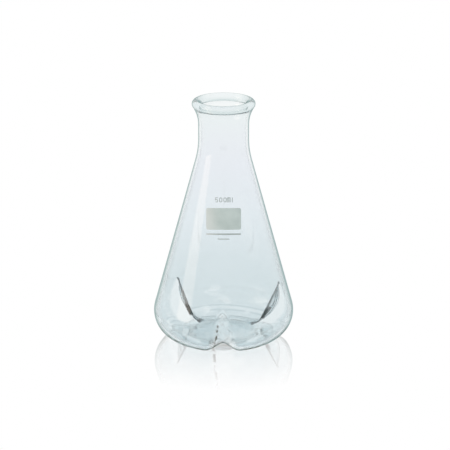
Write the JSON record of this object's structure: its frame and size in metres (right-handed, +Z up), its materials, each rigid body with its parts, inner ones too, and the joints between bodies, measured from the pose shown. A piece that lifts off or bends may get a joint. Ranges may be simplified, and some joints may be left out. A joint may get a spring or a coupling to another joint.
{
  "type": "baffled culture flask",
  "caption": "Conical glass culture flask with baffles pressed into its heel, a straight neck, a flared mouth with a beaded rim for a stopper, and a printed writing spot.",
  "frame": {"origin": "centre of the foot, on the surface the flask stands on", "axes": "+Z up along the axis of the neck, -Y towards the printed front, +X to the right of the print"},
  "size_m": [0.1039, 0.1035, 0.182],
  "materials": {
    "clear_glass": "clear borosilicate glass, fire polished",
    "white_enamel": "matt white ceramic enamel, fired on"
  },
  "bodies": {
    "root": {"glass_flask": "clear_glass", "writing_spot": "white_enamel", "capacity_figures": "white_enamel", "capacity_unit": "white_enamel", "long_rule": "white_enamel", "short_rule": "white_enamel"}
  },
  "joints": []
}
